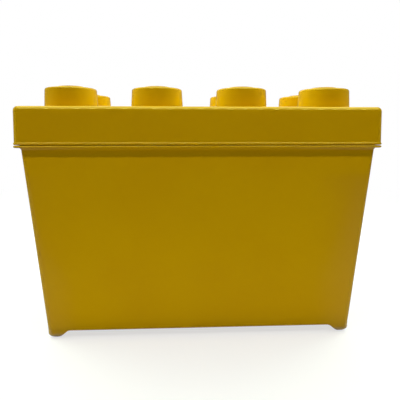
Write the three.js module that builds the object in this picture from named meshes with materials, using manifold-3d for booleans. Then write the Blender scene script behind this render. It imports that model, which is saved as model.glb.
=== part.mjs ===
// Storage box in the shape of a four by two building block: an open tub that narrows
// downwards and stands on four hollow corner feet, and a lid with eight hollow studs that
// lifts straight off. Each of the two is one plastic moulding.
//
// Sizes are in millimetres. X runs along the box, Y from front to back and Z up. The origin
// lies under the middle of the box, level with the soles of its feet.

import * as THREE from "three";
import { mergeVertices, toCreasedNormals } from "three/addons/utils/BufferGeometryUtils.js";
import Module from "manifold-3d";

// Grid of studs, which sets the length and width of the whole box
const studColumns = 4;
const studRows = 2;
const studPitch = 92;

// One stud: radius at its foot, height, and how far its side leans in over that height
const studRadius = 28;
const studHeight = 21;
const studLean = 1;
const studEdgeRadius = 2.4;

// Plain round pad on top of each stud
const padRadius = 14;
const padHeight = 2;
const padEdgeRadius = 0.6;

// Lid: plate, skirt that leans out downwards, and the bead along the skirt's lower edge
const lidMargin = 1.25;
const lidWall = 2.2;
const lidCornerRadius = 7;
const lidEdgeRadius = 4.5;
const lidInnerEdgeRadius = 1.9;
const skirtHeight = 38.1;
const skirtLean = 1.2;
const beadHeight = 2.2;
const beadReach = 0.6;
const beadFootRadius = 0.8;

// Seat of the lid: its skirt stands on the tub's flange, and its plate stays off the rim
const seatGap = 0.3;
const rimClearance = 5;
const neckClearance = 2.4;

// Tub: neck inside the lid, flange under the skirt, and walls that lean in down to the floor
const neckLean = 0.35;
const rimWall = 1.8;
const flangeMargin = 0.9;
const flangeThickness = 2.6;
const flangeFilletRadius = 2.6;
const wallHeight = 202.4;
const wallLean = 12.5;
const tubWall = 2.2;
const tubTopCornerRadius = 4.6;
const tubBottomCornerRadius = 7.3;
const floorThickness = 2.6;
const floorEdgeRadius = 2;
const floorFilletRadius = 3;

// Feet: their outer sides follow the walls down and round off towards the sole, and their
// inner sides slope by the taper over the height of the foot
const footHeight = 8.6;
const footRootWidth = 22;
const footTaper = 8.8;
const footRoundReach = 6.7;
const footRoundHeight = 6.1;
const footSetback = 0.2;

// Smoothness of the round stretches, and the overrun of one solid into another
const cornerSteps = 5;
const edgeSteps = 4;
const studEdgeSteps = 2;
const beadSteps = 2;
const studSides = 28;
const overrun = 0.5;
const creaseAngle = 0.5;

// Heights that follow from the sizes above
const floorUnderside = footHeight;
const floorTop = floorUnderside + floorThickness;
const flangeTop = floorUnderside + wallHeight;
const plateUnderside = flangeTop + seatGap + skirtHeight - lidWall;
const rimTop = plateUnderside - rimClearance;

// Height of the round on a foot, and half sizes of the lid's plate and of the tub's neck
// where it meets the flange
const footRound = Math.min(footRoundHeight, footHeight);
const lidHalf = new THREE.Vector2(studColumns, studRows)
  .multiplyScalar(studPitch / 2)
  .addScalar(lidMargin);
const neckInset = lidWall + neckClearance - neckLean;
const neckHalf = lidHalf.clone().subScalar(neckInset);
const flangeReach = neckInset + skirtLean + beadReach + flangeMargin;

const manifold = await Module();
manifold.setup();

// A closed geometry as a solid that can be joined and cut
function solidOf(geometry) {
  const bare = geometry.clone();
  bare.deleteAttribute("normal");
  bare.deleteAttribute("uv");
  const merged = mergeVertices(bare);
  const corners = merged.index.array;
  const triangles = [];
  for (let i = 0; i < corners.length; i += 3) {
    const [a, b, c] = corners.slice(i, i + 3);
    if (a !== b && b !== c && c !== a) triangles.push(a, b, c);
  }
  const mesh = new manifold.Mesh({
    numProp: 3,
    vertProperties: merged.attributes.position.array,
    triVerts: new Uint32Array(triangles),
  });
  return new manifold.Manifold(mesh);
}

// A solid as a geometry, with soft shading on its round stretches
function geometryOf(solid) {
  const mesh = solid.getMesh();
  const geometry = new THREE.BufferGeometry();
  geometry.setAttribute("position", new THREE.BufferAttribute(mesh.vertProperties, 3));
  geometry.setIndex(new THREE.BufferAttribute(mesh.triVerts, 1));
  return toCreasedNormals(geometry, creaseAngle);
}

// Points of a rounded rectangle, anticlockwise from the middle of its +X side
function roundedRectangle(half, radius) {
  const quarters = [
    [1, 1],
    [-1, 1],
    [-1, -1],
    [1, -1],
  ];
  const points = [];
  quarters.forEach(([sideX, sideY], quarter) => {
    for (let step = 0; step <= cornerSteps; step += 1) {
      const angle = ((quarter + step / cornerSteps) * Math.PI) / 2;
      const x = sideX * (half.x - radius) + radius * Math.cos(angle);
      const y = sideY * (half.y - radius) + radius * Math.sin(angle);
      points.push(new THREE.Vector2(x, y));
    }
  });
  return points;
}

// A closed skin through rings {half, radius, z, centre}, from the one that faces down and
// outside to the last one, with a flat cap on the first and the last
function loft(rings) {
  const positions = [];
  const triangles = [];
  for (const { half, radius, z, centre = new THREE.Vector2() } of rings) {
    for (const point of roundedRectangle(half, radius)) {
      positions.push(centre.x + point.x, centre.y + point.y, z);
    }
  }
  const count = positions.length / 3 / rings.length;
  for (let ring = 0; ring + 1 < rings.length; ring += 1) {
    for (let i = 0; i < count; i += 1) {
      const a = ring * count + i;
      const b = ring * count + ((i + 1) % count);
      triangles.push(a, b, b + count, a, b + count, a + count);
    }
  }
  const last = (rings.length - 1) * count;
  for (let i = 1; i + 1 < count; i += 1) {
    triangles.push(0, i + 1, i);
    triangles.push(last, last + i, last + i + 1);
  }
  const geometry = new THREE.BufferGeometry();
  geometry.setAttribute("position", new THREE.Float32BufferAttribute(positions, 3));
  geometry.setIndex(triangles);
  return geometry;
}

// Points (out, up) on an arc in a section through a wall, from one angle to another,
// where an angle of zero points outwards and a quarter turn points up
function sectionArc(out, up, radius, startQuarter, endQuarter, steps = edgeSteps) {
  const points = [];
  for (let step = 0; step <= steps; step += 1) {
    const quarter = THREE.MathUtils.lerp(startQuarter, endQuarter, step / steps);
    const angle = (quarter * Math.PI) / 2;
    points.push([out + radius * Math.cos(angle), up + radius * Math.sin(angle)]);
  }
  return points;
}

// Ring of the lid at a height over its plate's underside, out or in from the plate's edge
function lidRing([out, z]) {
  return { half: lidHalf.clone().addScalar(out), radius: lidCornerRadius + out, z };
}

// How far the skirt's outer face stands out at a height over the plate's underside
function skirtOut(z) {
  return (skirtLean * (lidWall - z)) / skirtHeight;
}

// Section of the lid's shell, from the middle of its underside round to the middle of its top
function lidShell() {
  const plateTop = lidWall;
  const skirtFoot = plateTop - skirtHeight;
  const ceiling = sectionArc(
    skirtOut(0) - lidWall - lidInnerEdgeRadius,
    -lidInnerEdgeRadius,
    lidInnerEdgeRadius,
    1,
    0,
  );
  const beadFoot = sectionArc(
    skirtLean + beadReach - beadFootRadius,
    skirtFoot + beadFootRadius,
    beadFootRadius,
    -1,
    0,
    beadSteps,
  );
  const bead = [
    [skirtLean - lidWall, skirtFoot],
    ...beadFoot,
    [skirtOut(skirtFoot + beadHeight), skirtFoot + beadHeight],
  ];
  const edge = sectionArc(-lidEdgeRadius, plateTop - lidEdgeRadius, lidEdgeRadius, 0, 1);
  return loft([...ceiling, ...bead, ...edge].map(lidRing));
}

// A solid of revolution from points (radius, height), which start and end on the axis
function turned(points) {
  const profile = points.map(([radius, height]) => new THREE.Vector2(radius, height));
  return new THREE.LatheGeometry(profile, studSides).rotateX(Math.PI / 2);
}

// Outside of one stud with its pad, sunk into the plate that carries it
function studBody() {
  const top = studRadius - studLean - studEdgeRadius;
  const padTop = padRadius - padEdgeRadius;
  const padHeightUp = studHeight + padHeight;
  return turned([
    [0, -overrun],
    [studRadius, -overrun],
    [studRadius, 0],
    ...sectionArc(top, studHeight - studEdgeRadius, studEdgeRadius, 0, 1, studEdgeSteps),
    [padRadius, studHeight],
    ...sectionArc(padTop, padHeightUp - padEdgeRadius, padEdgeRadius, 0, 1, studEdgeSteps),
    [0, padHeightUp],
  ]);
}

// Hollow of one stud, which keeps the lid's wall all round and opens under the plate
function studHollow() {
  const topRadius = studRadius - studLean - lidWall;
  const ceiling = studHeight - lidWall;
  return turned([
    [0, -lidWall - overrun],
    [studRadius - lidWall, -lidWall - overrun],
    [studRadius - lidWall, -lidWall],
    [topRadius, ceiling],
    [padRadius - lidWall, ceiling],
    [padRadius - lidWall, ceiling + padHeight],
    [0, ceiling + padHeight],
  ]);
}

// Places of the studs on the plate, counted from the middle of the grid
function studPlaces() {
  const places = [];
  for (let column = 0; column < studColumns; column += 1) {
    for (let row = 0; row < studRows; row += 1) {
      const x = (column - (studColumns - 1) / 2) * studPitch;
      const y = (row - (studRows - 1) / 2) * studPitch;
      places.push([x, y, lidWall]);
    }
  }
  return places;
}

function makeLid() {
  const body = solidOf(studBody());
  const hollow = solidOf(studHollow());
  let lid = solidOf(lidShell());
  for (const place of studPlaces()) {
    lid = lid.add(body.translate(place)).subtract(hollow.translate(place));
  }
  const mesh = new THREE.Mesh(geometryOf(lid), glossyYellow());
  mesh.name = "lid";
  mesh.position.z = plateUnderside;
  return mesh;
}

// Outer face of the tub at a height: how far it stands out from the foot of the neck, and
// the radius of its vertical corners
function outerFace(z) {
  if (z > flangeTop) {
    const rise = (z - flangeTop) / (rimTop - flangeTop);
    return { out: -neckLean * rise, corner: tubTopCornerRadius };
  }
  const depth = (flangeTop - z) / wallHeight;
  const corner = THREE.MathUtils.lerp(tubTopCornerRadius, tubBottomCornerRadius, depth);
  return { out: -wallLean * depth, corner };
}

// Ring of the tub at a height, out from or in from its outer face
function tubRing([out, z]) {
  const face = outerFace(z);
  return { half: neckHalf.clone().addScalar(face.out + out), radius: face.corner + out, z };
}

// Section of the tub's shell, from the middle of its underside round to its inner floor
function tubShell() {
  const flangeUnderside = flangeTop - flangeThickness;
  const flangeRound = flangeThickness / 2;
  const rimRound = rimWall / 2;
  const bottomEdge = sectionArc(
    -floorEdgeRadius,
    floorUnderside + floorEdgeRadius,
    floorEdgeRadius,
    -1,
    0,
  );
  const underFlange = sectionArc(
    flangeFilletRadius,
    flangeUnderside - flangeFilletRadius,
    flangeFilletRadius,
    2,
    1,
  );
  const flangeEdge = sectionArc(
    flangeReach - flangeRound,
    flangeTop - flangeRound,
    flangeRound,
    -1,
    1,
  );
  const rim = sectionArc(-rimRound, rimTop - rimRound, rimRound, 0, 2);
  const floorFillet = sectionArc(
    -tubWall - floorFilletRadius,
    floorTop + floorFilletRadius,
    floorFilletRadius,
    0,
    -1,
  );
  return loft(
    [
      ...bottomEdge,
      ...underFlange,
      ...flangeEdge,
      [0, flangeTop],
      ...rim,
      [-tubWall, flangeTop],
      ...floorFillet,
    ].map(tubRing),
  );
}

// How far a foot's outer sides draw in at a height, on a quarter ellipse down to the sole
function footInset(z) {
  const drop = Math.max(0, 1 - z / footRound);
  return footRoundReach * (1 - Math.sqrt(1 - drop ** 2));
}

// Ring of the foot at one corner of the tub, at a height and at a distance in from its faces
function footRing(sideX, sideY, z, depth) {
  const slope = footTaper * Math.max(0, 1 - z / footHeight);
  const width = footRootWidth - slope - footInset(z) - 2 * depth;
  const inset = footSetback + footInset(z) + depth;
  const reach = neckHalf.clone().addScalar(outerFace(z).out - inset - width / 2);
  const corner = tubBottomCornerRadius - footSetback - depth;
  return {
    half: new THREE.Vector2(width, width).divideScalar(2),
    radius: Math.min(corner, width / 2),
    z,
    centre: new THREE.Vector2(sideX * reach.x, sideY * reach.y),
  };
}

// Outside of the foot at one corner, sunk into the floor that carries it
function footBody(sideX, sideY) {
  const heights = sectionArc(0, footRound, footRound, -1, 0).map(([, z]) => z);
  heights.push(footHeight, footHeight + floorEdgeRadius);
  return loft(heights.map((z) => footRing(sideX, sideY, z, 0)));
}

// Hollow of the foot at one corner, open to the inside of the tub
function footHollow(sideX, sideY) {
  const heights = [floorThickness, footHeight, floorTop + floorFilletRadius + overrun];
  return loft(heights.map((z) => footRing(sideX, sideY, z, tubWall)));
}

function makeTub() {
  let tub = solidOf(tubShell());
  for (const sideX of [-1, 1]) {
    for (const sideY of [-1, 1]) {
      tub = tub.add(solidOf(footBody(sideX, sideY)));
      tub = tub.subtract(solidOf(footHollow(sideX, sideY)));
    }
  }
  const mesh = new THREE.Mesh(geometryOf(tub), glossyYellow());
  mesh.name = "tub";
  return mesh;
}

// Moulded polypropylene, dyed through in warm yellow, with a glossy skin
function glossyYellow() {
  return new THREE.MeshStandardMaterial({ color: 0xd7ab03, roughness: 0.2, metalness: 0 });
}

const storageBox = new THREE.Group();
storageBox.add(makeTub(), makeLid());

export default storageBox;
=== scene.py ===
import math

import bmesh
import bpy
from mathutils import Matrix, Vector


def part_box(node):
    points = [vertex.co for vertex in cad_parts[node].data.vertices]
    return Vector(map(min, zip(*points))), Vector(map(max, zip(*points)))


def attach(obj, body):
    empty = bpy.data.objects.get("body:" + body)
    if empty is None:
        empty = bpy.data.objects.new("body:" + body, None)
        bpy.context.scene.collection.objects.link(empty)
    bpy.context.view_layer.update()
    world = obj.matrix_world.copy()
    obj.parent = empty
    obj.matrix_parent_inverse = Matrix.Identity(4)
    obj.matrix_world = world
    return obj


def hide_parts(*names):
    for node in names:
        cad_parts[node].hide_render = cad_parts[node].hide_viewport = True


# Looks of the storage box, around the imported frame. All lengths are in metres.

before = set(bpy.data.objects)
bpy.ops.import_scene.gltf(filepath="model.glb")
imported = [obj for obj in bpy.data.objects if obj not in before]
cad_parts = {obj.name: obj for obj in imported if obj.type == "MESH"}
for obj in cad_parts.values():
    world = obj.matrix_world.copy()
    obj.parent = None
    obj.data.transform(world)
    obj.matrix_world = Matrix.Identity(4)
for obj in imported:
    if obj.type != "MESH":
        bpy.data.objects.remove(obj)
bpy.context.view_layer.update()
tub_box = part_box("tub")
lid_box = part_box("lid")

# Lid: grid of studs, plate, skirt and bead
STUD_COLUMNS = 4
STUD_ROWS = 2
STUD_PITCH = 0.092
STUD_RADIUS = 0.028
STUD_HEIGHT = 0.021
STUD_LEAN = 0.001
STUD_EDGE = 0.0024
STUD_ROOT = 0.0007
PAD_RADIUS = 0.014
PAD_HEIGHT = 0.002
PAD_EDGE = 0.0006
PAD_ROOT = 0.0004
LID_WALL = 0.0022
LID_CORNER = 0.007
LID_EDGE = 0.0045
LID_INNER_EDGE = 0.0019
SKIRT_LEAN = 0.0012
SKIRT_INNER_FOOT = 0.0004
BEAD_HEIGHT = 0.0027
BEAD_STEEPNESS = 1.7
BEAD_REACH = 0.0006
BEAD_FOOT = 0.001

# Tub: neck, flange, leaning walls, floor and feet
SEAT_GAP = 0.0003
NECK_LEAN = 0.00035
NECK_ROOT = 0.0008
RIM_WALL = 0.0018
FLANGE_REACH = 0.00695
FLANGE_THICKNESS = 0.0026
FLANGE_FILLET = 0.0026
FLANGE_ROUND = 0.00115
WALL_LEAN = 0.0125
TUB_WALL = 0.0022
TUB_TOP_CORNER = 0.0046
TUB_BOTTOM_CORNER = 0.0073
TUB_LEAST_CORNER = 0.001
FLOOR_THICKNESS = 0.0026
FLOOR_EDGE = 0.002
FLOOR_FILLET = 0.003
FOOT_HEIGHT = 0.0086
FOOT_ROOT_WIDTH = 0.022
FOOT_TAPER = 0.0088
FOOT_ROUND_REACH = 0.0078
FOOT_ROUND_HEIGHT = 0.0068
FOOT_CORNER = 0.006
FOOT_BLEND = 0.0024

# Heights and half sizes that follow from the frame and the sizes above
PLATE_TOP = lid_box[1].z - PAD_HEIGHT - STUD_HEIGHT
PLATE_UNDERSIDE = PLATE_TOP - LID_WALL
SKIRT_FOOT = lid_box[0].z
RIM_TOP = tub_box[1].z
FLANGE_TOP = SKIRT_FOOT - SEAT_GAP
FLANGE_UNDERSIDE = FLANGE_TOP - FLANGE_THICKNESS
FLOOR_TOP = FOOT_HEIGHT + FLOOR_THICKNESS
LID_HALF = lid_box[1].xy - Vector((1, 1)) * (SKIRT_LEAN + BEAD_REACH)
NECK_HALF = tub_box[1].xy - Vector((1, 1)) * FLANGE_REACH

# Smoothness of the meshes
CORNER_STEPS = 8
CELL_SIDE_STEPS = 16
EDGE_STEPS = 8
SMALL_STEPS = 4
WALL_STEPS = 16
SKIRT_STEPS = 8
FOOT_STATIONS = 14
FOOT_STATION_REACH = 0.030
MIDDLE_STATIONS = 14
FLOOR_ROUND_RINGS = 10
FLOOR_RINGS = 14

# Distances of the rings beside a rounding and of points that merge, and radius that counts as sharp
SUPPORT = 0.0009
MERGE = 0.000002
BEND_RADIUS = 0.003


def lerp(a, b, share):
    return a + (b - a) * share


def shares(steps):
    return [step / steps for step in range(steps + 1)]


def section_arc(out, up, radius, start, end, steps=EDGE_STEPS):
    """Points (out, up) of an arc from one quarter turn to another: 0 is outwards, 1 is up."""
    angles = [lerp(start, end, share) * math.pi / 2 for share in shares(steps)]
    return [(out + radius * math.cos(a), up + radius * math.sin(a)) for a in angles]


def smooth_min(a, b, blend):
    overlap = max(blend - abs(a - b), 0) / blend
    return min(a, b) - overlap * overlap * blend / 4


def smooth_max(a, b, blend):
    return -smooth_min(-a, -b, blend)


class Skin:
    """A mesh that grows ring by ring, in quads."""

    def __init__(self):
        self.bm = bmesh.new()

    def loft(self, rings):
        made = [[self.bm.verts.new(point) for point in ring] for ring in rings]
        for lower, upper in zip(made, made[1:]):
            for i in range(len(lower)):
                j = (i + 1) % len(lower)
                self.bm.faces.new((lower[i], lower[j], upper[j], upper[i]))
        return made

    def cap(self, ring):
        self.bm.faces.new(ring)

    def mark_bends(self):
        """Paints how sharply each point bends out (edge), for wear, and in (nook_shade), for painted shade.
        """
        edge = self.bm.verts.layers.float.new("edge")
        nook_shade = self.bm.verts.layers.float.new("nook_shade")
        for vert in self.bm.verts:
            bends = []
            for link in vert.link_edges:
                other = link.other_vert(vert)
                step = other.co - vert.co
                bends.append((other.normal - vert.normal).dot(step) / step.length_squared)
            vert[edge] = min(max(max(bends) * BEND_RADIUS, 0), 1)
            vert[nook_shade] = min(max(-min(bends) * BEND_RADIUS, 0), 1)

    def piece(self, name, body, node):
        bmesh.ops.remove_doubles(self.bm, verts=self.bm.verts, dist=MERGE)
        bmesh.ops.recalc_face_normals(self.bm, faces=self.bm.faces)
        self.bm.normal_update()
        self.mark_bends()
        for face in self.bm.faces:
            face.smooth = True
        mesh = bpy.data.meshes.new(name)
        self.bm.to_mesh(mesh)
        self.bm.free()
        piece = bpy.data.objects.new(name, mesh)
        bpy.context.scene.collection.objects.link(piece)
        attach(piece, body)
        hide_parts(node)
        return piece


# Plate of the lid, in cells: each stud stands in one, and their outer points make its edge


def cell_corners(column, row, half):
    """Corners of a cell, anticlockwise from its lower left, and whether each is a corner of the plate."""
    xs = [(i - STUD_COLUMNS / 2) * STUD_PITCH for i in range(STUD_COLUMNS + 1)]
    ys = [(i - STUD_ROWS / 2) * STUD_PITCH for i in range(STUD_ROWS + 1)]
    xs[0], xs[-1] = -half.x, half.x
    ys[0], ys[-1] = -half.y, half.y
    low = (xs[column], ys[row])
    high = (xs[column + 1], ys[row + 1])
    corners = [low, (high[0], low[1]), high, (low[0], high[1])]
    rounded = [abs(x) == half.x and abs(y) == half.y for x, y in corners]
    return [Vector(corner) for corner in corners], rounded


def cell_outline(column, row, half, radius):
    """Points round a cell, anticlockwise from its lower left corner, with the plate's own round corners."""
    corners, rounded = cell_corners(column, row, half)
    points = []
    for i, here in enumerate(corners):
        onwards = corners[(i + 1) % 4]
        ahead = (onwards - here).normalized()
        arrival = (here - corners[i - 1]).normalized()
        steps = CELL_SIDE_STEPS
        if rounded[i]:
            centre = here + (ahead - arrival) * radius
            for step in range(CORNER_STEPS):
                angle = step / CORNER_STEPS * math.pi / 2
                points.append(centre + radius * (arrival * math.sin(angle) - ahead * math.cos(angle)))
            here = here + ahead * radius
            steps -= CORNER_STEPS // 2
        if rounded[(i + 1) % 4]:
            onwards = onwards - ahead * radius
            steps -= CORNER_STEPS // 2
        points += [here.lerp(onwards, step / steps) for step in range(steps)]
    return points


def cell_circle(column, row, radius):
    """Points on a circle round a stud, one for each point of its cell's outline.

    They start at the lower left, where half of a round corner's points come before the corner itself.
    """
    centre = Vector((column - (STUD_COLUMNS - 1) / 2, row - (STUD_ROWS - 1) / 2)) * STUD_PITCH
    count = 4 * CELL_SIDE_STEPS
    early = CORNER_STEPS // 2 if column == 0 and row == 0 else 0
    points = []
    for step in range(count):
        angle = ((step - early) / count - 3 / 8) * 2 * math.pi
        points.append(centre + radius * Vector((math.cos(angle), math.sin(angle))))
    return points


def lid_outline(half, radius):
    """Points round the whole plate, with the same steps as the outer points of its cells."""
    points = []
    for side, cells in enumerate((STUD_COLUMNS, STUD_ROWS, STUD_COLUMNS, STUD_ROWS)):
        along, across = (half.x, half.y) if side % 2 == 0 else (half.y, half.x)
        marks = [(i - cells / 2) * STUD_PITCH for i in range(cells + 1)]
        marks[0], marks[-1] = radius - along, along - radius
        run = []
        for i, (start, end) in enumerate(zip(marks, marks[1:])):
            steps = CELL_SIDE_STEPS - CORNER_STEPS // 2 * ((i == 0) + (i == cells - 1))
            run += [Vector((lerp(start, end, step / steps), -across)) for step in range(steps)]
        centre = Vector((along - radius, radius - across))
        for step in range(CORNER_STEPS):
            angle = (step / CORNER_STEPS - 1) * math.pi / 2
            run.append(centre + radius * Vector((math.cos(angle), math.sin(angle))))
        points += [quarter_turned(point, side) for point in run]
    return points


def quarter_turned(point, turns):
    for _ in range(turns):
        point = Vector((-point.y, point.x))
    return point


def at_height(points, z):
    return [(point.x, point.y, z) for point in points]


def skirt_out(z):
    """How far the skirt's outer face stands out from the plate's edge at a height."""
    return SKIRT_LEAN * (PLATE_TOP - z) / (PLATE_TOP - SKIRT_FOOT)


def bead_profile():
    """The bead bulges out of the skirt in a soft curve above its round foot."""
    foot = section_arc(SKIRT_LEAN + BEAD_REACH - BEAD_FOOT, SKIRT_FOOT + BEAD_FOOT, BEAD_FOOT, -1, 0)
    rise = BEAD_HEIGHT - BEAD_FOOT
    for share in shares(EDGE_STEPS)[1:]:
        z = SKIRT_FOOT + BEAD_FOOT + rise * share
        swell = (1 + math.cos(math.pi * share**BEAD_STEEPNESS)) / 2
        foot.append((lerp(skirt_out(z), SKIRT_LEAN + BEAD_REACH, swell), z))
    return foot


def skirt_profile():
    """Section (out, up) of the lid from the flat of its underside round its foot to the flat of its top."""
    inner_top = skirt_out(PLATE_UNDERSIDE) - LID_WALL
    ceiling = section_arc(
        inner_top - LID_INNER_EDGE, PLATE_UNDERSIDE - LID_INNER_EDGE, LID_INNER_EDGE, 1, 0, SMALL_STEPS
    )
    inner_foot = section_arc(
        SKIRT_LEAN - LID_WALL + SKIRT_INNER_FOOT,
        SKIRT_FOOT + SKIRT_INNER_FOOT,
        SKIRT_INNER_FOOT,
        2,
        3,
        SMALL_STEPS,
    )
    bead = bead_profile()
    low, high = bead[-1][1] + SUPPORT, PLATE_TOP - LID_EDGE - SUPPORT
    face = [(skirt_out(z), z) for z in (lerp(low, high, share) for share in shares(SKIRT_STEPS))]
    edge = section_arc(-LID_EDGE, PLATE_TOP - LID_EDGE, LID_EDGE, 0, 1)
    edge = [(out + skirt_out(z), z) for out, z in edge]
    return ceiling + inner_foot + bead + face + edge


def stud_profile():
    """Section (radius, height) of a stud from the plate to the middle of its pad."""
    top = PLATE_TOP + STUD_HEIGHT
    pad_top = top + PAD_HEIGHT
    side_top = STUD_RADIUS - STUD_LEAN
    return [
        (STUD_RADIUS + STUD_ROOT + 2 * SUPPORT, PLATE_TOP),
        *section_arc(STUD_RADIUS + STUD_ROOT, PLATE_TOP + STUD_ROOT, STUD_ROOT, -1, -2, SMALL_STEPS),
        (STUD_RADIUS - STUD_LEAN / 2, PLATE_TOP + STUD_HEIGHT / 2),
        *section_arc(side_top - STUD_EDGE, top - STUD_EDGE, STUD_EDGE, 0, 1),
        (side_top - STUD_EDGE - SUPPORT, top),
        (PAD_RADIUS + PAD_ROOT + SUPPORT, top),
        *section_arc(PAD_RADIUS + PAD_ROOT, top + PAD_ROOT, PAD_ROOT, -1, -2, SMALL_STEPS),
        *section_arc(PAD_RADIUS - PAD_EDGE, pad_top - PAD_EDGE, PAD_EDGE, 0, 1, SMALL_STEPS),
        (PAD_RADIUS - PAD_EDGE - SUPPORT, pad_top),
        (PAD_RADIUS / 2, pad_top),
    ]


def hollow_profile():
    """Section (radius, height) of a stud's hollow from the plate's underside to its middle."""
    mouth = STUD_RADIUS - LID_WALL
    ceiling = PLATE_TOP + STUD_HEIGHT - LID_WALL
    pocket = PAD_RADIUS - LID_WALL
    return [
        (mouth + STUD_ROOT + SUPPORT, PLATE_UNDERSIDE),
        *section_arc(mouth + STUD_ROOT, PLATE_UNDERSIDE + STUD_ROOT, STUD_ROOT, -1, -2, SMALL_STEPS),
        *section_arc(
            mouth - STUD_LEAN - STUD_ROOT, ceiling - STUD_ROOT, STUD_ROOT, 0, 1, SMALL_STEPS
        ),
        (pocket + PAD_EDGE + SUPPORT, ceiling),
        *section_arc(pocket + PAD_EDGE, ceiling + PAD_EDGE, PAD_EDGE, -1, -2, SMALL_STEPS),
        *section_arc(pocket - PAD_EDGE, ceiling + PAD_HEIGHT - PAD_EDGE, PAD_EDGE, 0, 1, SMALL_STEPS),
        (pocket / 2, ceiling + PAD_HEIGHT),
    ]


def make_lid():
    """The skirt's rings run from the plate's underside to its top, and the cells fill both."""
    skin = Skin()
    outlines = [(LID_HALF + Vector((out, out)), LID_CORNER + out, z) for out, z in skirt_profile()]
    skin.loft([at_height(lid_outline(half, radius), z) for half, radius, z in outlines])
    for (half, radius, z), section in ((outlines[0], hollow_profile()), (outlines[-1], stud_profile())):
        for column in range(STUD_COLUMNS):
            for row in range(STUD_ROWS):
                rings = [at_height(cell_outline(column, row, half, radius), z)]
                rings += [at_height(cell_circle(column, row, r), height) for r, height in section]
                skin.cap(skin.loft(rings)[-1])
    return skin.piece("lid_moulding", "lid", "lid")


# Tub


def outer_half(z):
    """Half sizes over the tub's outer faces at a height, without the flange."""
    if z > FLANGE_TOP:
        out = -NECK_LEAN * (z - FLANGE_TOP) / (RIM_TOP - FLANGE_TOP)
    else:
        out = -WALL_LEAN * (FLANGE_TOP - z) / (FLANGE_TOP - FOOT_HEIGHT)
    return NECK_HALF + Vector((out, out))


def outer_corner(z):
    """Radius of the tub's upright corners at a height."""
    depth = min(max((FLANGE_TOP - z) / (FLANGE_TOP - FOOT_HEIGHT), 0), 1)
    return lerp(TUB_TOP_CORNER, TUB_BOTTOM_CORNER, depth)


def tub_outline(half, corner, inset):
    """Points round the tub at a distance in from its outer faces, in steps that are short near the feet."""
    radius = max(corner - inset, TUB_LEAST_CORNER)
    points = []
    for side in range(4):
        along, across = (half.x, half.y) if side % 2 == 0 else (half.y, half.x)
        end = [lerp(inset + radius, FOOT_STATION_REACH, share) for share in shares(FOOT_STATIONS)]
        start = [distance - along for distance in end]
        middle = [lerp(start[-1], -start[-1], share) for share in shares(MIDDLE_STATIONS)[1:-1]]
        stations = start + middle + [-x for x in reversed(start)][:-1]
        run = [Vector((x, inset - across)) for x in stations]
        centre = Vector((along - inset - radius, inset + radius - across))
        for step in range(CORNER_STEPS):
            angle = (step / CORNER_STEPS - 1) * math.pi / 2
            run.append(centre + radius * Vector((math.cos(angle), math.sin(angle))))
        points += [quarter_turned(point, side) for point in run]
    return points


def tub_ring(out, z):
    return at_height(tub_outline(outer_half(z), outer_corner(z), -out), z)


def distance_in(u, v, radius):
    """How far a point lies in from the rim of a round corner, from its distances to the two faces."""
    if abs(u - v) >= radius:
        return min(u, v)
    return (u + v + math.sqrt(2 * radius**2 - (u - v) ** 2)) / 2 - radius


def quarter_round(distance, reach, height):
    """Drop of a quarter ellipse that starts upright at distance zero and ends level at its reach."""
    share = 1 - min(max(distance / reach, 0), 1)
    return height * (1 - math.sqrt(1 - share**2))


def foot_slope(distance):
    """Height of a foot's sloping inner side, at a distance in from the outer face across from it."""
    return FOOT_HEIGHT * (distance - FOOT_ROOT_WIDTH + FOOT_TAPER) / FOOT_TAPER


def underside(u, v):
    """Height of the tub's underside at distances u and v in from its outer faces."""
    round_off = quarter_round(distance_in(u, v, FOOT_CORNER), FOOT_ROUND_REACH, FOOT_ROUND_HEIGHT)
    foot = smooth_max(smooth_max(round_off, foot_slope(u), FOOT_BLEND), foot_slope(v), FOOT_BLEND)
    edge = quarter_round(distance_in(u, v, TUB_BOTTOM_CORNER), FLOOR_EDGE, FLOOR_EDGE)
    return smooth_min(foot, FOOT_HEIGHT + edge, FOOT_BLEND)


def inner_floor(u, v):
    """Height of the tub's inner floor, which dips into the hollow of each foot."""
    sloping_wall = TUB_WALL * math.sqrt(2)
    inset = distance_in(u - TUB_WALL, v - TUB_WALL, FOOT_CORNER - TUB_WALL)
    pocket_round = FLOOR_THICKNESS + quarter_round(
        inset, FOOT_ROUND_REACH - TUB_WALL, FOOT_ROUND_HEIGHT - TUB_WALL
    )
    pocket = smooth_max(pocket_round, foot_slope(u) + sloping_wall, FOOT_BLEND)
    pocket = smooth_max(pocket, foot_slope(v) + sloping_wall, FOOT_BLEND)
    edge = quarter_round(inset, FLOOR_FILLET, FLOOR_FILLET)
    return smooth_min(pocket, FLOOR_TOP + edge, FOOT_BLEND / 2)


def floor_rings(height, wall):
    """Rings across a floor, from the faces inwards, at the heights that a function of (u, v) gives."""
    base = outer_half(FOOT_HEIGHT)
    turns = [share * math.pi / 2 for share in shares(FLOOR_ROUND_RINGS)]
    rounds = [wall + FOOT_ROUND_REACH * (1 - math.cos(turn)) for turn in turns]
    flats = [lerp(rounds[-1], FOOT_STATION_REACH - 2 * SUPPORT, s) for s in shares(FLOOR_RINGS)[1:]]
    rings = []
    for inset in rounds + flats:
        ring = []
        for point in tub_outline(base, outer_corner(FOOT_HEIGHT), inset):
            z = height(base.x - abs(point.x), base.y - abs(point.y))
            shift = outer_half(z) - base
            x, y = (value + math.copysign(move, value) for value, move in zip(point, shift))
            ring.append((x, y, z))
        rings.append(ring)
    return rings


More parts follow.
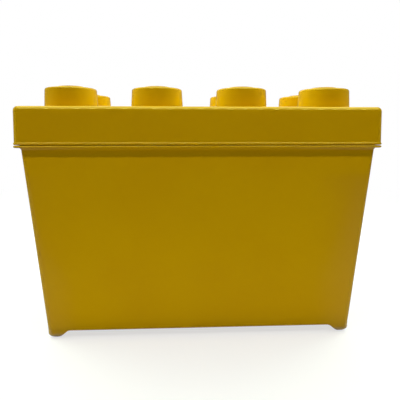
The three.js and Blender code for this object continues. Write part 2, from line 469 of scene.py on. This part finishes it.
def tub_walls():
    """Rings of the tub from just above its underside, over the flange and rim, down to the inner floor."""
    low = FOOT_HEIGHT + 2 * FLOOR_EDGE
    high = FLANGE_UNDERSIDE - FLANGE_FILLET
    outer = [(0, lerp(low, high - SUPPORT, share)) for share in shares(WALL_STEPS)]
    fillet = section_arc(FLANGE_FILLET, high, FLANGE_FILLET, 2, 1)
    edge_out = FLANGE_REACH - FLANGE_ROUND
    edge_top = FLANGE_UNDERSIDE + 2 * FLANGE_ROUND
    edge = section_arc(edge_out, FLANGE_UNDERSIDE + FLANGE_ROUND, FLANGE_ROUND, -1, 1, 2 * EDGE_STEPS)
    root = section_arc(NECK_ROOT, FLANGE_TOP + NECK_ROOT, NECK_ROOT, -1, -2, SMALL_STEPS)
    rim_round = RIM_WALL / 2
    rim = section_arc(-rim_round, RIM_TOP - rim_round, rim_round, 0, 2)
    inner_low = FLOOR_TOP + 2 * FLOOR_FILLET
    inner = [(-TUB_WALL, lerp(FLANGE_TOP, inner_low, share)) for share in shares(WALL_STEPS)]
    under = [(FLANGE_FILLET + SUPPORT, FLANGE_UNDERSIDE), (edge_out - SUPPORT, FLANGE_UNDERSIDE)]
    over = [(edge_out - SUPPORT, edge_top), (NECK_ROOT + SUPPORT, FLANGE_TOP)]
    profile = outer + fillet + under + edge + over + root + rim + inner
    return [tub_ring(out, z) for out, z in profile]


def make_tub():
    skin = Skin()
    below = floor_rings(underside, 0)
    inside = floor_rings(inner_floor, TUB_WALL)
    made = skin.loft(list(reversed(below)) + tub_walls() + inside)
    skin.cap(made[0])
    skin.cap(made[-1])
    return skin.piece("tub_moulding", "tub", "tub")


lid = make_lid()
tub = make_tub()


# Material: glossy moulded plastic with soft flow marks, hairline scratches, worn edges and painted shade in
# its creases

PLASTIC = (0.68, 0.408, 0.001, 1)
# Deeper tone of the flow marks, also used for the painted shade in the creases
PLASTIC_DEEP = (0.66, 0.386, 0.001, 1)
PLASTIC_WORN = (0.75, 0.48, 0.01, 1)
PLASTIC_SCUFFED = (0.45, 0.29, 0.05, 1)
PLASTIC_IOR = 1.49
FLOW_SCALE = 11
FLOW_DETAIL = 4
PATCH_SCALE = 55
PATCH_DETAIL = 5
PATCH_ROUGHNESS = 0.65
GRAIN_SCALE = 1400
RIPPLE_SCALE = 34
RIPPLE_DETAIL = 1
SCRATCH_TURNS = (0.35, -0.9, 1.35)
SCRATCH_STRETCH = (26, 26, 1900)
SCRATCH_RANGE = (0.70, 0.74)
SOLE_START = 0.0004
SOLE_HEIGHT = 0.0016

# Ranges of the flow and of the patches over which each effect grows to its full strength
DEPTH_RANGE = (0.3, 0.7)
DULL_RANGE = (0.25, 0.75)
LINE_RANGE = (0.35, 0.65)
WORN_RANGE = (0.4, 0.65)
SCUFF_RANGE = (0.3, 0.6)
LEAST_SCUFF = 0.5

# Strength of wear and of painted shade in the colour, roughness that each effect adds, and depth of the
# relief
EDGE_WEAR = 0.3
NOOK_PAINTED_SHADE = 0.5
SMOOTH = 0.04
FLOW_DULL = 0.02
GRAIN_DULL = 0.01
SCRATCH_DULL = 0.06
EDGE_DULL = 0.01
SCUFF_DULL = 0.35
BUMP_DISTANCE = 0.00003
GRAIN_SHARE = 0.005
SCRATCH_SHARE = 0.05


def node(tree, kind, inputs=(), **settings):
    """Adds a node, sets its settings and fills its inputs with values or with other nodes' outputs."""
    made = tree.nodes.new(kind)
    for name, value in settings.items():
        setattr(made, name, value)
    for key, value in dict(inputs).items():
        if isinstance(value, bpy.types.NodeSocket):
            tree.links.new(value, made.inputs[key])
        else:
            made.inputs[key].default_value = value
    return made


def maths(tree, operation, *values, clamp=False):
    inputs = enumerate(values)
    return node(tree, "ShaderNodeMath", inputs, operation=operation, use_clamp=clamp).outputs[0]


def between(tree, value, low, high, start=0, end=1):
    """Spreads a value from the range low to high over the range start to end, in a soft curve."""
    inputs = {"Value": value, "From Min": low, "From Max": high, "To Min": start, "To Max": end}
    return node(tree, "ShaderNodeMapRange", inputs, interpolation_type="SMOOTHSTEP").outputs[0]


def noise(tree, place, scale, detail=2, roughness=0.5):
    inputs = {"Vector": place, "Scale": scale, "Detail": detail, "Roughness": roughness}
    return node(tree, "ShaderNodeTexNoise", inputs).outputs["Fac"]


def blend(tree, share, a, b):
    """Mixes two colours, by the numbers of the sockets that carry colours."""
    return node(tree, "ShaderNodeMix", {0: share, 6: a, 7: b}, data_type="RGBA").outputs[2]


def scratches(tree, place):
    """Hairlines in a few directions: noise that is stretched along each one and cut off high."""
    found = 0
    for i, turn in enumerate(SCRATCH_TURNS):
        turned = node(
            tree,
            "ShaderNodeMapping",
            {"Vector": place, "Rotation": (turn, turn / 3, i), "Scale": SCRATCH_STRETCH},
        ).outputs[0]
        found = maths(tree, "MAXIMUM", found, between(tree, noise(tree, turned, 1), *SCRATCH_RANGE))
    return found


def plastic_masks(tree):
    """How strong each mark of moulding and of wear is, from place to place."""
    place = node(tree, "ShaderNodeTexCoord").outputs["Object"]
    flow = noise(tree, place, FLOW_SCALE, FLOW_DETAIL)
    patches = noise(tree, place, PATCH_SCALE, PATCH_DETAIL, PATCH_ROUGHNESS)
    edge = node(tree, "ShaderNodeAttribute", attribute_name="edge").outputs["Fac"]
    height = node(tree, "ShaderNodeSeparateXYZ", {0: place}).outputs["Z"]
    sole = between(tree, height, SOLE_START, SOLE_HEIGHT, 1, 0)
    return {
        "flow": flow,
        "grain": noise(tree, place, GRAIN_SCALE),
        "ripple": noise(tree, place, RIPPLE_SCALE, RIPPLE_DETAIL),
        "lines": maths(tree, "MULTIPLY", scratches(tree, place), between(tree, flow, *LINE_RANGE)),
        # Painted shade: how sharply the surface bends inwards, which darkens its creases
        "nook_shade": node(tree, "ShaderNodeAttribute", attribute_name="nook_shade").outputs["Fac"],
        "worn": maths(tree, "MULTIPLY", edge, between(tree, patches, *WORN_RANGE)),
        "scuff": maths(tree, "MULTIPLY", sole, between(tree, patches, *SCUFF_RANGE, LEAST_SCUFF, 1)),
    }


def plastic_colour(tree, masks):
    depth = between(tree, masks["flow"], *DEPTH_RANGE)
    # Creases darken towards the deeper tone: painted shade
    depth = maths(tree, "MULTIPLY_ADD", masks["nook_shade"], NOOK_PAINTED_SHADE, depth, clamp=True)
    colour = blend(tree, depth, PLASTIC, PLASTIC_DEEP)
    for name, tone in (("worn", PLASTIC_WORN), ("scuff", PLASTIC_SCUFFED)):
        colour = blend(tree, maths(tree, "MULTIPLY", masks[name], EDGE_WEAR), colour, tone)
    return colour


def plastic_roughness(tree, masks):
    dull = maths(tree, "MULTIPLY_ADD", between(tree, masks["flow"], *DULL_RANGE), FLOW_DULL, SMOOTH)
    for name, share in (
        ("grain", GRAIN_DULL),
        ("lines", SCRATCH_DULL),
        ("worn", EDGE_DULL),
        ("scuff", SCUFF_DULL),
    ):
        dull = maths(tree, "MULTIPLY_ADD", masks[name], share, dull)
    return dull


def plastic_relief(tree, masks):
    relief = maths(tree, "MULTIPLY_ADD", masks["grain"], GRAIN_SHARE, masks["ripple"])
    relief = maths(tree, "MULTIPLY_ADD", masks["lines"], -SCRATCH_SHARE, relief)
    inputs = {"Height": relief, "Distance": BUMP_DISTANCE, "Strength": 1}
    return node(tree, "ShaderNodeBump", inputs).outputs[0]


def plastic():
    material = bpy.data.materials.new("yellow_plastic")
    material.use_nodes = True
    tree = material.node_tree
    shader = tree.nodes["Principled BSDF"]
    masks = plastic_masks(tree)
    tree.links.new(plastic_colour(tree, masks), shader.inputs["Base Color"])
    tree.links.new(plastic_roughness(tree, masks), shader.inputs["Roughness"])
    tree.links.new(plastic_relief(tree, masks), shader.inputs["Normal"])
    shader.inputs["IOR"].default_value = PLASTIC_IOR
    return material


yellow = plastic()
for piece in (lid, tub):
    piece.data.materials.append(yellow)


# Floor and backdrop: white where they are seen, and dimmer where they light the box

FLOOR_SIZE = 12
FLOOR_BOUNCE = (0.2, 0.18, 0.05, 1)
FLOOR_GLOW_SHARE = 0.65
FLOOR_LIT_REACH = 0.45
FLOOR_WHITE_REACH = 1.4
AMBIENT = 0.03
WHITE = (1, 1, 1, 1)


def seen_directly(tree):
    """One for rays from the camera, off a glossy surface or through a clear one, and zero for the rest."""
    path = node(tree, "ShaderNodeLightPath")
    total = path.outputs["Is Camera Ray"]
    for kind in ("Is Glossy Ray", "Is Transmission Ray"):
        total = maths(tree, "MAXIMUM", total, path.outputs[kind])
    return total


def stage_material(name):
    material = bpy.data.materials.new(name)
    material.use_nodes = True
    tree = material.node_tree
    tree.nodes.remove(tree.nodes["Principled BSDF"])
    return material, tree, tree.nodes["Material Output"].inputs["Surface"]


def stage_mesh(name, quads, material):
    mesh = bpy.data.meshes.new(name)
    corners = [corner for quad in quads for corner in quad]
    mesh.from_pydata(corners, [], [range(i, i + 4) for i in range(0, len(corners), 4)])
    mesh.materials.append(material)
    piece = bpy.data.objects.new(name, mesh)
    bpy.context.scene.collection.objects.link(piece)
    return piece


def make_floor():
    material, tree, surface = stage_material("pale_floor")
    bounce = node(tree, "ShaderNodeBsdfDiffuse", {"Color": FLOOR_BOUNCE}).outputs[0]
    shadowed = node(tree, "ShaderNodeBsdfDiffuse", {"Color": WHITE}).outputs[0]
    glow = node(tree, "ShaderNodeEmission", {"Color": WHITE, "Strength": 1}).outputs[0]
    place = node(tree, "ShaderNodeTexCoord").outputs["Object"]
    away = node(tree, "ShaderNodeVectorMath", {0: place}, operation="LENGTH").outputs["Value"]
    share = between(tree, away, FLOOR_LIT_REACH, FLOOR_WHITE_REACH, FLOOR_GLOW_SHARE, 1)
    white = node(tree, "ShaderNodeMixShader", {0: share, 1: shadowed, 2: glow}).outputs[0]
    seen = node(tree, "ShaderNodeMixShader", {0: seen_directly(tree), 1: bounce, 2: white}).outputs[0]
    tree.links.new(seen, surface)
    reach = FLOOR_SIZE / 2
    corners = [(-reach, -reach, 0), (reach, -reach, 0), (reach, reach, 0), (-reach, reach, 0)]
    stage_mesh("floor", [corners], material)


def make_world():
    world = bpy.data.worlds.new("studio")
    bpy.context.scene.world = world
    world.use_nodes = True
    tree = world.node_tree
    around = tree.nodes["Background"]
    around.inputs["Color"].default_value = WHITE
    around.inputs["Strength"].default_value = AMBIENT
    white = node(tree, "ShaderNodeBackground", {"Color": WHITE, "Strength": 1}).outputs[0]
    seen = node(tree, "ShaderNodeMixShader", {0: seen_directly(tree), 1: around.outputs[0], 2: white})
    tree.links.new(seen.outputs[0], tree.nodes["World Output"].inputs["Surface"])


# Cards that only reflections see: warm in front of the box, bright over it and grey around it

CARD_HALF = 0.95
CARD_FRONT = -0.9
CARD_BACK = 1.6
CARD_BOTTOM = 0.002
CARD_TOP = 1.2
BACK_CARD_TOP = 0.7
GREY_TINT = (1, 1, 1)
SIDE_CARD_GLOW = 0.15
FLOOR_CARD_GLOW = 0.3
FAR_CARD_GLOW = 0.08

# Glow of the bright card by y, of the warm card by share of its length, and of its upright part by z
OVER_STEPS = ((CARD_FRONT, 0), (-0.86, 2.6), (-0.4, 2.6), (-0.2, 3), (0.4, 3), (0.8, 1))
OVER_TINT = (0.95, 1, 0.3)
SHADE_STEPS = ((0, 0.3), (0.15, 0.7), (1, 0.7))
SHADE_RISE = ((CARD_BOTTOM, 0.7), (0.14, 0.7), (0.2, 0), (CARD_TOP, 0))
SHADE_TINT = (1, 0.76, 0.01)

# Start of the cards on the floor, and half widths of the warm card and of its blend into the grey ones
SHADE_START = -0.0825
SHADE_HALF_START = 0.13
SHADE_HALF_END = 0.39
EDGE_HALF_START = 0.18
EDGE_HALF_END = 0.52


def card_corners():
    """Quads of corners (x, y, z, glow, tint): glow and tint blend from corner to corner."""
    near, far, low, high = SHADE_START, CARD_FRONT, CARD_BOTTOM, CARD_TOP
    start, end = SHADE_HALF_START, SHADE_HALF_END
    cards = []

    def add(corners, tint=GREY_TINT):
        cards.append([(*corner, tint) for corner in corners])

    def add_strip(rows, tint):
        """A card that runs on from row to row: each row is a half width, y, z and glow."""
        for (a, *row_a), (b, *row_b) in zip(rows, rows[1:]):
            add([(-a, *row_a), (a, *row_a), (b, *row_b), (-b, *row_b)], tint)

    add_strip(
        [(lerp(start, end, s), lerp(near, far, s), low, glow) for s, glow in SHADE_STEPS], SHADE_TINT
    )
    add_strip([(CARD_HALF, y, high, glow) for y, glow in OVER_STEPS], OVER_TINT)
    add_strip([(CARD_HALF, far, z, glow) for z, glow in SHADE_RISE], SHADE_TINT)
    add_strip([(CARD_HALF, CARD_BACK, z, SIDE_CARD_GLOW) for z in (low, BACK_CARD_TOP)], GREY_TINT)
    add_strip([(CARD_HALF, y, low, FLOOR_CARD_GLOW) for y in (-near, CARD_BACK)], GREY_TINT)
    for side in (-1, 1):
        out = side * CARD_HALF
        edge_far = (side * EDGE_HALF_END, far, low, FAR_CARD_GLOW)
        edge_near = (side * EDGE_HALF_START, near, low, FLOOR_CARD_GLOW)
        rows = []
        for s, glow in SHADE_STEPS:
            inner = (side * lerp(start, end, s), lerp(near, far, s), low, glow, SHADE_TINT)
            edge = [lerp(a, b, s) for a, b in zip(edge_near, edge_far)]
            rows.append((inner, (*edge, GREY_TINT)))
        for (inner_a, edge_a), (inner_b, edge_b) in zip(rows, rows[1:]):
            cards.append([inner_a, inner_b, edge_b, edge_a])
        add([edge_far, edge_near, (out, near, low, FLOOR_CARD_GLOW), (out, far, low, FAR_CARD_GLOW)])
        beside = [(side * EDGE_HALF_START, -near), (out, -near), (out, near)]
        add([edge_near] + [(x, y, low, FLOOR_CARD_GLOW) for x, y in beside])
        upright = [(out, far, low, 0), (out, CARD_BACK, low, SIDE_CARD_GLOW)]
        add(upright + [(out, CARD_BACK, high, SIDE_CARD_GLOW), (out, far, high, 0)])
    return cards


def make_cards():
    material, tree, surface = stage_material("grey_card")
    glow = node(tree, "ShaderNodeAttribute", attribute_name="glow").outputs["Color"]
    tree.links.new(node(tree, "ShaderNodeEmission", {"Color": glow}).outputs[0], surface)
    quads = card_corners()
    cards = stage_mesh("grey_cards", [[corner[:3] for corner in quad] for quad in quads], material)
    painted = cards.data.attributes.new("glow", "FLOAT_COLOR", "POINT")
    for i, (*_, glow, tint) in enumerate(corner for quad in quads for corner in quad):
        painted.data[i].color = (*(glow * part for part in tint), 1)
    only_reflected(cards)


def only_reflected(piece):
    piece.visible_camera = False
    piece.visible_diffuse = False
    piece.visible_transmission = False
    piece.visible_shadow = False


# Row of slim bulbs high in front of the box, which only reflections see: glints along the lid's edge

BULB_COUNT = 25
BULB_PITCH = 0.049
BULB_WIDTH = 0.01
BULB_LENGTH = 0.28
BULB_GLOW = 20
BULB_TINT = (1, 0.96, 0.2, 1)
BULB_ROW = (-0.67, 1.01)


def make_bulbs():
    """The bulbs lean by an eighth of a turn, so that their broad sides face the lid's edge."""
    material, tree, surface = stage_material("bulbs")
    glow = node(tree, "ShaderNodeEmission", {"Color": BULB_TINT, "Strength": BULB_GLOW})
    tree.links.new(glow.outputs[0], surface)
    y, z = BULB_ROW
    half, reach = BULB_WIDTH / 2, BULB_LENGTH / 2 / math.sqrt(2)
    low, high = (y - reach, z - reach), (y + reach, z + reach)
    quads = []
    for i in range(BULB_COUNT):
        x = (i - (BULB_COUNT - 1) / 2) * BULB_PITCH
        quads.append([(x - half, *low), (x + half, *low), (x + half, *high), (x - half, *high)])
    only_reflected(stage_mesh("bulb_row", quads, material))


# Soft lamps, which reflections don't see: name, place, target, width, height, radiance and tint

COOL = (0.87, 1, 0.86)
WARM = (1, 0.92, 0.85)
LAMPS = (
    ("top", (0, -0.3, 1.2), (0, 0, 0.25), 1.4, 0.4, 0.8, COOL),
    ("high_left", (-0.95, 0.3, 0.95), (0, 0, 0.22), 0.9, 0.8, 5.0, COOL),
    ("high_right", (0.95, 0.3, 0.95), (0, 0, 0.22), 0.9, 0.8, 3.3, COOL),
    ("near_left", (-0.5, 0.3, 0.8), (0, 0, 0.22), 0.5, 0.5, 3.7, COOL),
    ("near_right", (0.5, 0.3, 0.8), (0, 0, 0.22), 0.5, 0.5, 5.8, COOL),
    ("key", (0, -0.68, 1.0), (0, -0.09, 0.19), 1.6, 0.08, 13.4, WARM),
    ("left", (-1.1, 0.15, 0.5), (0, 0, 0.2), 1.1, 0.9, 0.9, COOL),
    ("right", (1.1, 0.15, 0.5), (0, 0, 0.2), 1.1, 0.9, 0.6, COOL),
    ("back", (0, 1.1, 0.5), (0, 0, 0.25), 1.6, 0.9, 1.5, COOL),
    ("front", (0, -1.3, 0.3), (0, 0, 0.15), 1.6, 0.5, 0.4, WARM),
    ("floor_glow", (0, -0.182, 0.003), (0, -0.182, 1), 0.7, 0.176, 0.59, WARM),
)


def soft_light(name, place, target, width, height, radiance, tint):
    light = bpy.data.lights.new(name, "AREA")
    light.shape = "RECTANGLE"
    light.size = width
    light.size_y = height
    light.energy = radiance * width * height * math.pi
    light.color = tint
    lamp = bpy.data.objects.new(name, light)
    bpy.context.scene.collection.objects.link(lamp)
    lamp.location = place
    lamp.rotation_euler = (Vector(target) - Vector(place)).to_track_quat("-Z", "Y").to_euler()
    lamp.visible_camera = False
    lamp.visible_glossy = False


# Camera

PHOTO_WIDTH = 400
FOCAL_PIXELS = 422.7
CAMERA_PLACE = Vector((-0.0237, -0.5198, 0.2202))
CAMERA_YAW = -0.0517
CAMERA_PITCH = 0.1503


def make_camera():
    camera = bpy.data.objects.new("camera", bpy.data.cameras.new("camera"))
    bpy.context.scene.collection.objects.link(camera)
    camera.data.lens = camera.data.sensor_width * FOCAL_PIXELS / PHOTO_WIDTH
    camera.location = CAMERA_PLACE
    camera.rotation_euler = (math.pi / 2 - CAMERA_PITCH, 0, CAMERA_YAW)
    bpy.context.scene.camera = camera


make_floor()
make_world()
make_cards()
make_bulbs()
for lamp_row in LAMPS:
    soft_light(*lamp_row)
make_camera()
bpy.context.scene.view_settings.view_transform = "Standard"
